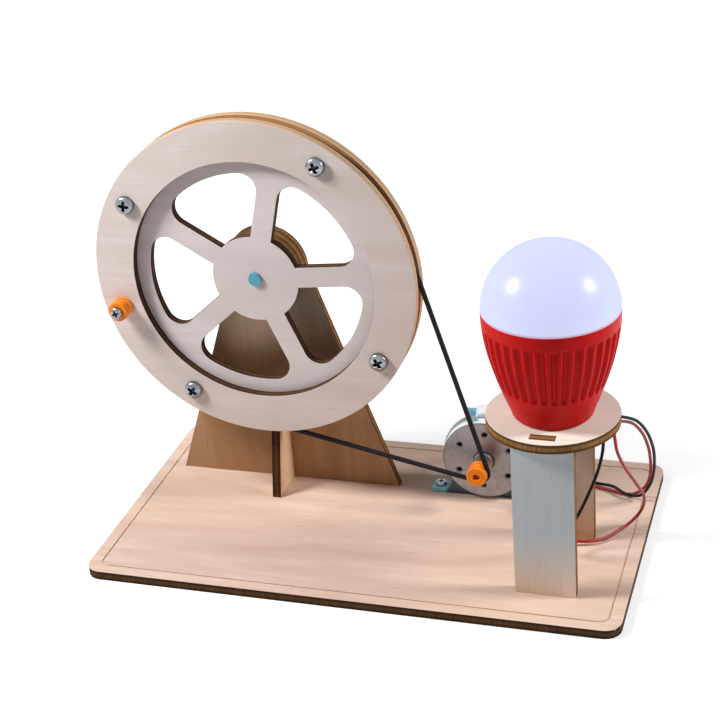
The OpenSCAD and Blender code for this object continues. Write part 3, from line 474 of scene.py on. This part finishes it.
axle_x, _, axle_z = corners_of("axle").mean(axis=0)
ring_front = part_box("wheel_front_ring")[0].y
wheel_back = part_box("wheel_rear_ring")[1].y
belt_y = (ring_front + wheel_back) / 2
_, groove_half, groove_floor = np.ptp(corners_of("wheel_spoked_disc"), axis=0) / 2
inner_edge = linear(50, 34, 26), linear(102, 70, 44)
outer_edge = linear(206, 176, 146), linear(184, 146, 108)
ring_tones = linear(228, 216, 211), linear(213, 198, 190)
disc_tones = linear(230, 219, 219), linear(215, 202, 200)
for node, shift, tones in (("wheel_front_ring", 1.7, ring_tones), ("wheel_spoked_disc", 1.93, disc_tones),
                           ("wheel_rear_ring", 2.16, ring_tones)):
    tree, look = sheet_material(node, "level", *tones, *inner_edge, shift)
    radius = reach_from(tree, (axle_x, 0, axle_z), (1, 0, 1))
    outside = ramp(tree, radius, groove_floor - 0.003, groove_floor - 0.001)
    go_over(tree, look, ("Char", "Core"), outside, inner_edge, outer_edge)
    # Painted brown on the faces inside the belt groove: partly smoke from the cut, partly painted shade deep
    # in the groove.
    from_middle = reach_from(tree, (0, belt_y, 0), (0, 1, 0))
    between_rings = ramp(tree, from_middle, groove_half + 0.00004, groove_half + 0.0001, 1, 0)
    past_floor = ramp(tree, radius, groove_floor - 0.0002, groove_floor + 0.0001)
    repaint(tree, calc(tree, "MULTIPLY", between_rings, past_floor), linear(206, 150, 100))


# Screws and nuts
# Zinc-plated pan-head machine screws with a cross recess. Four hold the wheel's layers and one the crank
# knob, with hexagonal nuts behind, and two shorter ones hold the motor bracket down.
def worked_metal_group():
    """Worked metal: fine scratches, soft stains and the gloss that goes with them."""
    group, into, out = effect(
        "worked metal",
        {"Place": "Vector", "Bright": "Color", "Dull": "Color", "Gloss": "Float"},
        {"Color": "Color", "Roughness": "Float", "Height": "Float"})
    stain = cloudy(group, into["Place"], (420, 420, 420), 3.0, 0.8)
    scratch = cloudy(group, into["Place"], (300, 9000, 5000), 2.0)
    share = ramp(group, stain, 0.4, 0.75, 0, 0.8)
    color = mix(group, share, into["Bright"], into["Dull"])
    rough = calc(group, "ADD", into["Gloss"], calc(group, "MULTIPLY", share, 0.18))
    rough = calc(group, "ADD", rough, ramp(group, scratch, 0.3, 0.7, -0.04, 0.06))
    put_out(group, out, Color=color, Roughness=rough, Height=scratch)
    return group


worked_metal = worked_metal_group()


def metal(name, bright, dull, gloss, depth=0.000004):
    """Material of a bare or plated metal."""
    material, tree, at = new_material(name)
    inputs = {"Place": at, "Bright": bright, "Dull": dull, "Gloss": gloss}
    look = place(tree, "Group", inputs, node_tree=worked_metal).outputs
    surface(tree, {"Base Color": look["Color"], "Roughness": look["Roughness"], "Metallic": 1.0},
            look["Height"], depth)
    return material


def screw_grid(head_d, head_h, shank_d, reach, pitch):
    """A cross-recess screw along z, its seat at 0 and its tip at -reach, as a turned outline r(u), z(u) over
    angles a. The head's top is lowered inside a cross of two bars, |across| < half a bar and r < half their
    length, and the shank's radius is lowered by a triangle wave of z / pitch - a / turn for the thread. Also
    returns how far each point is in the recess."""
    sides, dome_steps, thread_steps = 96, 42, 8
    half_bar, half_length, slope = 0.075 * head_d, 0.28 * head_d, 0.05 * head_d
    point = 0.15 * shank_d
    length = reach - point
    a = 2 * np.pi * np.arange(sides)[None] / sides
    dome = np.linspace(0, np.pi / 2, dome_steps)[1:]
    shank = np.linspace(0, 1, 15 + int(thread_steps * length / pitch))
    r = np.concatenate([head_d / 2 * np.sin(dome) ** 0.8, [head_d / 2, shank_d / 2],
                        0 * shank + shank_d / 2, [0.3 * shank_d]])[:, None] + 0 * a
    z = np.concatenate([head_h * (0.3 + 0.7 * np.cos(dome) ** 0.7), [0, 0], -length * shank,
                        [-length - point]])[:, None] + 0 * a
    across = np.minimum(np.abs(r * np.sin(a)), np.abs(r * np.cos(a)))
    inside = np.clip((half_bar - across) / slope + 0.5, 0, 1)
    inside = inside * np.clip((half_length - r) / slope + 0.5, 0, 1) * (z > 0.2 * head_h)
    recess = inside * inside * (3 - 2 * inside)
    saw = np.abs((z / pitch - a / (2 * np.pi)) % 1 - 0.5) * 2
    fade = np.clip(-z / pitch, 0, 1) * (z < -0.2 * pitch)
    z = z - 0.6 * head_h * recess
    r = r - 0.55 * pitch * saw * fade * (r > 0.4 * shank_d)
    return np.stack([r * np.cos(a), r * np.sin(a), z], axis=-1), recess


def stand_screws(name, node, body, seats, top, **shape):
    """Screws of one shape at their seats, with their heads towards top and each cross turned its own way."""
    grid, recess = screw_grid(**shape)
    side = unit(np.cross(top, [0.3, 0.5, 0.8]))
    for i, seat in enumerate(seats):
        t = 0.7 + 1.1 * i
        turned = np.cos(t) * side + np.sin(t) * np.cross(top, side)
        turn = np.array([turned, np.cross(top, turned), top])
        screw = piece(f"{name}_{i + 1}", grid @ turn + seat, zinc, body)
        screw.data.attributes.new("recess", "FLOAT", "POINT").data.foreach_set("value", recess.ravel())
        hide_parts(node)


def on_circle(x, y, z, radius, turns):
    """Points of an upright circle about (x, z), at the depth y: x + radius cos t, y, z + radius sin t."""
    return np.stack([x + radius * np.cos(turns), 0 * turns + y, z + radius * np.sin(turns)], axis=-1)


to_front, to_top = np.array([0, -1.0, 0]), np.array([0, 0, 1.0])
zinc = metal("zinc_plate", linear(150, 152, 156), linear(104, 106, 112), 0.2)
# Painted shade: the cross recess of each head is darkened for the shade inside it.
painted_recess_shade = place(zinc.node_tree, "Attribute", {}, attribute_name="recess").outputs["Fac"]
repaint(zinc.node_tree, ramp(zinc.node_tree, painted_recess_shade, 0.2, 0.9), linear(48, 48, 52))

screw_edge, first_screw, quarters = 0.0061, 58.4, 90 * np.arange(4)
screw_r = np.ptp(corners_of("wheel_front_ring"), axis=0)[2] / 2 - screw_edge
wheel_seats = on_circle(axle_x, ring_front, axle_z, screw_r, np.radians(first_screw + quarters))
stand_screws("wheel_screw", "wheel_screws", "wheel", wheel_seats, to_front, head_d=0.0056, head_h=0.002,
             shank_d=0.003, reach=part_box("wheel_screws")[1].y - ring_front, pitch=0.0005)

foot_low, foot_high = corners_of("bracket_screws")
foot_head_d, foot_head_h = 0.0034, 0.0013
foot_seats = np.array([[x, (foot_low[1] + foot_high[1]) / 2, foot_high[2] - foot_head_h]
                       for x in (foot_low[0] + foot_head_d / 2, foot_high[0] - foot_head_d / 2)])
stand_screws("bracket_screw", "bracket_screws", "frame", foot_seats, to_top, head_d=foot_head_d,
             head_h=foot_head_h, shank_d=0.002, reach=foot_seats[0, 2] - foot_low[2], pitch=0.0004)

pin_low, pin_high = corners_of("crank_pin")
pin_head_d, pin_head_h = 0.0038, 0.0013
pin_x, _, pin_z = (pin_low + pin_high) / 2
pin_seat = np.array([[pin_x, pin_low[1] + pin_head_h, pin_z]])
stand_screws("crank_pin_screw", "crank_pin", "wheel", pin_seat, to_front, head_d=pin_head_d,
             head_h=pin_head_h, shank_d=0.002, reach=pin_high[1] - pin_seat[0, 1], pitch=0.0004)
for node, width in (("wheel_nuts", 0.00025), ("crank_pin_nut", 0.00015)):
    dress(node, zinc)
    soften(node, width)

# Axle
# A light-blue plastic rod through the wheel's hub, with a push-on collar of the same plastic behind the
# stand. The wheel is pressed onto it and turns with it.
blue_plastic = plastic("light_blue_plastic", linear(84, 166, 194), linear(62, 142, 172), 0.36)
for node in ("axle", "axle_collar"):
    dress(node, blue_plastic)
    soften(node, 0.00025)

# Crank
# An orange plastic spool that serves as the knob. It turns freely on a small screw near the wheel's rim,
# which a nut holds from behind.
orange_plastic = plastic("orange_plastic", linear(255, 146, 24), linear(236, 112, 14), 0.34,
                         **{"Specular IOR Level": 0.3})
dress("crank_knob", orange_plastic)
soften("crank_knob", 0.0002)

# Motor
# A flat direct-current motor in a deep-drawn, nickel-plated steel can with six holes and a black end cap.
# Inside are two magnets, a three-arm wound armature with its commutator, two brushes and two bushes.
motor_x, _, motor_z = corners_of("drive_pulley").mean(axis=0)
pulley_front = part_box("drive_pulley")[0].y


def from_motor_axis(tree):
    """Distance along the motor's axis, distance from it and turn about it."""
    x, y, z = xyz(tree, object_place(tree))
    turn = calc(tree, "ARCTAN2", calc(tree, "SUBTRACT", z, motor_z), calc(tree, "SUBTRACT", x, motor_x))
    return y, reach_from(tree, (motor_x, 0, motor_z), (1, 0, 1)), turn


def bands(tree, value, width):
    """Round waves from 0 to 1, one for each width."""
    return ramp(tree, calc(tree, "SINE", calc(tree, "MULTIPLY", value, 2 * np.pi / width)), -1, 1)


def banded_metal(name, bright, dull, gloss, lines, line_tone, depth):
    """Metal with darker lines where the mark of lines(tree) is low, which also lie deeper."""
    material = metal(name, bright, dull, gloss)
    tree = material.node_tree
    mark = lines(tree)
    repaint(tree, ramp(tree, mark, 0.05, 0.45, 1, 0), line_tone)
    surface(tree, {}, mark, depth)
    return material


def wire_turns(tree):
    """Turns of thin wire, side by side along each arm."""
    return bands(tree, from_motor_axis(tree)[1], 0.0003)


def laminations(tree):
    """Edges of stacked sheets along the motor's axis."""
    return bands(tree, from_motor_axis(tree)[0], 0.0005)


def commutator_slots(tree):
    """Three slots between the commutator's bars."""
    turn = calc(tree, "MULTIPLY", from_motor_axis(tree)[2], 1.5 / np.pi)
    turn = calc(tree, "FRACT", calc(tree, "ADD", turn, 2))
    return ramp(tree, calc(tree, "ABSOLUTE", calc(tree, "SUBTRACT", turn, 0.5)), 0.02, 0.06)


nickel = metal("nickel_plate", linear(164, 165, 173), linear(142, 141, 148), 0.3, 0.000001)
bright_steel = metal("ground_steel", linear(150, 148, 146), linear(120, 118, 116), 0.28)
bush_steel = metal("sintered_iron", linear(168, 164, 164), linear(144, 138, 136), 0.36)
tinned_brass = metal("tinned_brass", linear(210, 190, 140), linear(180, 160, 120), 0.3)
wound_copper = banded_metal("enamelled_copper", linear(196, 108, 58), linear(160, 76, 36), 0.3, wire_turns,
                            linear(88, 36, 16), 0.0001)
bar_copper = banded_metal("bare_copper", linear(212, 134, 88), linear(160, 92, 60), 0.28, commutator_slots,
                          linear(40, 30, 24), 0.0002)
core_iron = banded_metal("stamped_iron", linear(132, 132, 134), linear(92, 92, 96), 0.4, laminations,
                         linear(52, 52, 56), 0.00004)
black_plastic = plastic("black_plastic", linear(36, 36, 40), linear(50, 50, 54), 0.45)
ferrite = plastic("ferrite", linear(60, 60, 66), linear(44, 44, 48), 0.6, 0.00003)
carbon = plastic("carbon", linear(34, 34, 34), linear(48, 46, 44), 0.55, 0.00002)
for node, material, width in (
        ("motor_can", nickel, 0.0004), ("motor_shaft", bright_steel, 0.00015),
        ("front_bush", bush_steel, 0.0002), ("rear_bush", bush_steel, 0.0002),
        ("motor_terminals", tinned_brass, 0.0001), ("armature_core", core_iron, 0.0001),
        ("armature_windings", wound_copper, 0.0003), ("commutator", bar_copper, 0.0001),
        ("motor_end_cap", black_plastic, 0.0002), ("motor_magnets", ferrite, 0.0002),
        ("motor_brushes", carbon, 0.0001)):
    dress(node, material)
    soften(node, width)
tree = bright_steel.node_tree
# Painted shade and reflection: the shaft's end, deep in the pulley's bore, is dark orange-brown for the
# shade and the orange light in the bore.
painted_bore_shade = ramp(tree, from_motor_axis(tree)[0], pulley_front + 0.0011, pulley_front + 0.0014, 1, 0)
repaint(tree, painted_bore_shade, linear(128, 74, 42))
tree = nickel.node_tree
end_on = calc(tree, "ABSOLUTE", xyz(tree, place(tree, "TexCoord", {}).outputs["Normal"])[1])
# Painted reflections: the can's side is near white for the white surroundings it mirrors, and the rounded
# rim of its face dark grey for a dark reflection. The side is also a little glossier.
side_painted_reflection = ramp(tree, end_on, 0.3, 0.7, 1, 0)
repaint(tree, side_painted_reflection, linear(240, 241, 245))
rim_painted_reflection = calc(tree, "MULTIPLY", ramp(tree, end_on, 0.25, 0.5), ramp(tree, end_on, 0.9, 0.98, 1, 0))
repaint(tree, rim_painted_reflection, linear(92, 91, 96))
polish = ramp(tree, side_painted_reflection, 0, 1, 1, 0.8)
surface(tree, {"Roughness": calc(tree, "MULTIPLY", so_far(tree, "Roughness"), polish)})

# Pulley and belt
# The pulley is a spool like the crank's, pressed onto the motor's shaft. The belt is an endless round cord
# of black rubber that lies in the wheel's groove and in the pulley's.
dress("drive_pulley", orange_plastic)
soften("drive_pulley", 0.0002)
belt_r = 0.00075
belt_wheel_r, belt_pulley_r = 0.04855, 0.0030
wheel_steps, pulley_steps, run_steps, belt_sides = 220, 40, 32, 16
run_x, run_z = motor_x - axle_x, motor_z - axle_z
run_turn = np.arctan2(run_z, run_x)
lap = np.arccos((belt_wheel_r - belt_pulley_r) / np.hypot(run_x, run_z))
round_wheel = run_turn + lap + np.linspace(0, 2 * np.pi - 2 * lap, wheel_steps)
round_pulley = run_turn - lap + np.linspace(0, 2 * lap, pulley_steps)
share = np.linspace(0, 1, run_steps)[1:-1, None]
wheel_arc = on_circle(axle_x, belt_y, axle_z, belt_wheel_r, round_wheel)
pulley_arc = on_circle(motor_x, belt_y, motor_z, belt_pulley_r, round_pulley)
belt_line = np.concatenate([wheel_arc, wheel_arc[-1] + share * (pulley_arc[0] - wheel_arc[-1]),
                            pulley_arc, pulley_arc[-1] + share * (wheel_arc[0] - pulley_arc[-1])])
belt_along = unit(np.roll(belt_line, -1, axis=0) - np.roll(belt_line, 1, axis=0))
belt_rubber = plastic("belt_rubber", linear(15, 15, 18), linear(24, 24, 28), 0.5, 0.00002,
                      **{"Specular IOR Level": 0.2})
belt_across = np.tile([0, 1.0, 0], (len(belt_line), 1))
belt_grid = round_tube(belt_line, belt_along, belt_across, belt_r, belt_sides)
belt = piece("belt_loop", belt_grid, belt_rubber, "frame", endless=True)
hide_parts("drive_belt")

# Motor bracket
# A light-blue plastic bracket with a foot on each side, screwed to the base, a cradle under the motor that
# is painted dark for the can's shadow, and a strap with a small lug over it. The strap is painted near white
# and its lug a brighter blue, as painted light on them.
strap_t, cradle_half = 0.0005, 0.0122
strap_out_r = np.ptp(corners_of("motor_can"), axis=0)[2] / 2 + strap_t
pale_blue_plastic = plastic("pale_blue_plastic", linear(134, 204, 222), linear(112, 184, 206), 0.36)
tree = pale_blue_plastic.node_tree
_, off, turn = from_motor_axis(tree)
upward = calc(tree, "SINE", turn)
aside = reach_from(tree, (motor_x, 0, 0), (1, 0, 0))
# Painted shade: the cradle under the can is darkened for the can's shadow.
painted_cradle_shade = calc(tree, "MULTIPLY", ramp(tree, aside, cradle_half, cradle_half + 0.0014, 1, 0),
              ramp(tree, upward, -0.6, -0.4, 1, 0))
repaint(tree, painted_cradle_shade, linear(58, 76, 84))
# Painted light: the strap over the can is near white and its lug a brighter blue.
on_lug = ramp(tree, off, strap_out_r + 0.0001, strap_out_r + 0.0003)
painted_strap_light = mix(tree, on_lug, linear(232, 246, 250), linear(146, 228, 252))
repaint(tree, ramp(tree, upward, -0.6, 0.5), painted_strap_light)
dress("motor_bracket", pale_blue_plastic)
soften("motor_bracket", 0.00015)

# Lamp stand
# Two plywood posts stand in slots of the base and carry a round plywood platform on their upper tabs. The
# front post's veneer is painted a cool grey for the cool light in its shade, and the rear post's is a warm
# one; both are painted warmer at the foot for light thrown up from the base.
bounce_glow_h = 0.02
for node, shift, tones, bounce_lit_tones in (
        ("lamp_post_front", 2.6, (linear(197, 204, 211), linear(187, 192, 197)),
         (linear(246, 224, 204), linear(232, 206, 184))),
        ("lamp_post_rear", 2.9, (linear(198, 177, 162), linear(184, 160, 144)),
         (linear(208, 164, 132), linear(194, 146, 112)))):
    tree, look = sheet_material(node, "upright", *tones, linear(84, 54, 30), linear(166, 114, 62), shift)
    # Painted light: warmer tones toward each post's foot, for light thrown up from the lit base.
    painted_bounce_share = ramp(tree, xyz(tree, object_place(tree))[2], base_top, base_top + bounce_glow_h, 1, 0)
    go_over(tree, look, ("Face", "Figure"), painted_bounce_share, tones, bounce_lit_tones)
sheet_material("lamp_platform", "flat", linear(238, 236, 224), linear(228, 222, 208), linear(72, 48, 26),
               linear(168, 122, 70), 3.4)


# Lamp
# A red moulded housing with thirty-six shallow grooves, closed by a milky white dome. A round board with six
# light-emitting diodes lies on a ledge inside, under the dome.
def housing_grid(foot_r, seam_r, height, wall, hole_r, ledge_z, ledge_w, ledge_t, low, high, count, turn):
    """Closed shell turned about z. Outside, r(h) = foot + (seam - foot) sin(90 h / height), less grooves
    from low to high that go as a smoothed raised cosine of count (a - turn). Inside, the same curve less the
    wall, with a ledge and a floor."""
    def curve(h):
        """Outer radius at a height, without the grooves."""
        return foot_r + (seam_r - foot_r) * np.sin(np.pi / 2 * h / height)

    groove_steps, groove_depth, groove_start, groove_stop = 14, 0.00095, 0.0022, 0.0014
    foot_round, lip = 0.0014, 0.0002
    a = 2 * np.pi * np.arange(groove_steps * count) / (groove_steps * count)
    t = np.linspace(0, np.pi / 2, 8)
    outer = np.linspace(foot_round, height - lip, 72)
    start = np.clip((outer - low) / groove_start, 0, 1)
    stop = np.clip((high - outer) / groove_stop, 0, 1)
    depth = groove_depth * np.sqrt(start * (2 - start) * stop * (2 - stop))
    wave = 0.5 + 0.5 * np.cos(count * (a - turn))
    shape = wave * wave * (3 - 2 * wave)
    inner = np.linspace(height, ledge_z, 6)
    lower = np.linspace(ledge_z - ledge_t, wall, 20)
    corner_r = curve(foot_round) - foot_round
    r = np.concatenate([
        [hole_r, corner_r], corner_r + foot_round * np.sin(t[1:-1]), curve(outer), [curve(height) - lip],
        curve(inner) - wall, [curve(ledge_z) - wall - ledge_w] * 2, curve(lower) - wall, [hole_r]])
    z = np.concatenate([
        [0, 0], foot_round - foot_round * np.cos(t[1:-1]), outer, [height],
        inner, [ledge_z, ledge_z - ledge_t], lower, [wall]])
    groove = np.zeros(len(r))
    groove[len(t):len(t) + len(outer)] = depth
    r = r[:, None] - groove[:, None] * shape[None]
    return np.stack([r * np.cos(a), r * np.sin(a), z[:, None] + 0 * r], axis=-1)


lamp_x, lamp_y, _ = corners_of("lamp_housing").mean(axis=0)
lamp_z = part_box("lamp_housing")[0].z
housing_w, _, housing_h = np.ptp(corners_of("lamp_housing"), axis=0)
housing = housing_grid(
    foot_r=0.0109, seam_r=housing_w / 2, height=housing_h, wall=0.0014, hole_r=0.003,
    ledge_z=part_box("lamp_board")[0].z - lamp_z, ledge_w=0.0024, ledge_t=0.001,
    low=0.0100, high=0.0279, count=36, turn=np.radians(3.3))
housing = housing + np.array([lamp_x, lamp_y, lamp_z])
red_plastic = plastic("red_plastic", linear(204, 12, 9), linear(186, 7, 6), 0.38,
                      **{"Specular IOR Level": 0.1})
housing_shell = piece("lamp_housing_shell", housing, red_plastic, "frame", endless=True)
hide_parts("lamp_housing")

milky_plastic = plastic("milky_plastic", linear(104, 107, 126), linear(102, 105, 124), 0.3, 0.0,
                        **{"Specular IOR Level": 0.25})
tree = milky_plastic.node_tree
seam_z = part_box("lamp_dome")[0].z
at_seam = ramp(tree, xyz(tree, object_place(tree))[2], seam_z + 0.0002, seam_z + 0.0008, 1, 0)
repaint(tree, at_seam, linear(112, 60, 70))
edge_on = place(tree, "LayerWeight", {"Blend": 0.5}).outputs["Facing"]
# Painted light: the dome glows by emission, for light scattered through its milky plastic and the lit lamp's
# shine; the glow is pinker at the seam.
surface(tree, {"Roughness": ramp(tree, edge_on, 0.35, 0.75, 0.3, 0.85), "Emission Strength": 1.0,
               "Emission Color": mix(tree, at_seam, linear(194, 199, 231), linear(176, 150, 176))})
dress("lamp_dome", milky_plastic)

diode_circle_r, diode_step, lens_r = 0.009, np.pi / 3, 0.0011
diode_package = plastic("diode_package", linear(238, 238, 230), linear(226, 226, 218), 0.4)
tree = diode_package.node_tree
x, y, _ = xyz(tree, object_place(tree))
x, y = calc(tree, "SUBTRACT", x, lamp_x), calc(tree, "SUBTRACT", y, lamp_y)
nearest = calc(tree, "ROUND", calc(tree, "DIVIDE", calc(tree, "ARCTAN2", y, x), diode_step))
turn = calc(tree, "MULTIPLY", nearest, diode_step)
x = calc(tree, "SUBTRACT", x, calc(tree, "MULTIPLY", calc(tree, "COSINE", turn), diode_circle_r))
y = calc(tree, "SUBTRACT", y, calc(tree, "MULTIPLY", calc(tree, "SINE", turn), diode_circle_r))
off = calc(tree, "SQRT", calc(tree, "ADD", calc(tree, "MULTIPLY", x, x), calc(tree, "MULTIPLY", y, y)))
repaint(tree, ramp(tree, off, lens_r, lens_r + 0.0002, 1, 0), linear(240, 206, 70))
dress("lamp_diodes", diode_package)
soften("lamp_diodes", 0.0001)

track_half = 0.0006
board_mask = plastic("board_mask", linear(236, 236, 230), linear(224, 226, 220), 0.4)
tree = board_mask.node_tree
off = calc(tree, "SUBTRACT", reach_from(tree, (lamp_x, lamp_y, 0), (1, 1, 0)), diode_circle_r)
track = ramp(tree, calc(tree, "ABSOLUTE", off), track_half, track_half + 0.0002, 0.5, 0)
repaint(tree, track, linear(206, 196, 160))
dress("lamp_board", board_mask)
